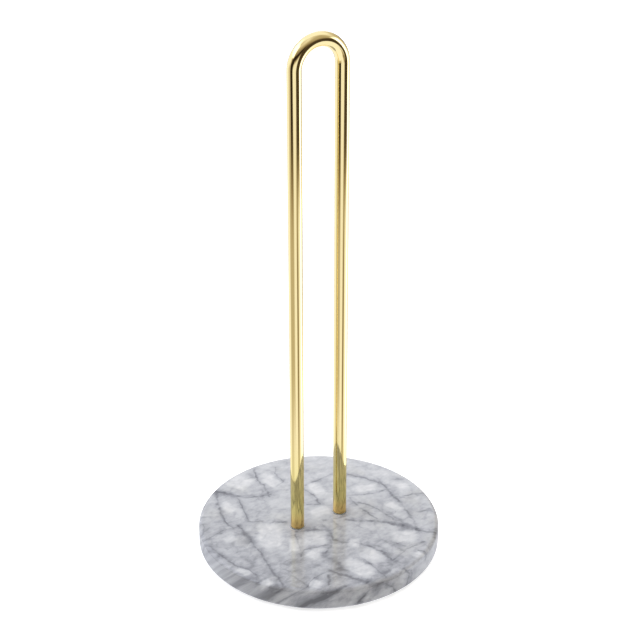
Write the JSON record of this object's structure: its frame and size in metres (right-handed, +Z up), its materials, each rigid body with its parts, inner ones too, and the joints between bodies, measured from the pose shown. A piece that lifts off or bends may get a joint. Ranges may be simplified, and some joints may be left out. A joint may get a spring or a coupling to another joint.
{
  "type": "paper towel holder",
  "caption": "Countertop paper towel holder: a heavy round marble base with an upright brass hairpin loop that a paper roll drops over.",
  "frame": {"origin": "on the counter, under the centre of the round base", "axes": "+Z up; the loop lies in the XZ plane with one leg at +X and one at -X; either side can be the front, -Y is called front"},
  "size_m": [0.1524, 0.1524, 0.3365],
  "materials": {
    "marble": "polished white marble with grey veins",
    "brass_rod": "mirror-polished yellow brass plating",
    "zinc_steel": "bright zinc plate",
    "clear_nylon": "translucent moulded nylon",
    "foot_rubber": "matte dark grey rubber"
  },
  "bodies": {
    "root": {"marble_base": "marble", "loop_rod": "brass_rod", "seat_washer_left": "clear_nylon", "seat_washer_right": "clear_nylon", "screw_left": "zinc_steel", "screw_right": "zinc_steel", "lock_washer_left": "zinc_steel", "lock_washer_right": "zinc_steel", "flat_washer_left": "zinc_steel", "flat_washer_right": "zinc_steel", "foot_front_left": "foot_rubber", "foot_front_right": "foot_rubber", "foot_back_left": "foot_rubber", "foot_back_right": "foot_rubber"}
  },
  "joints": []
}
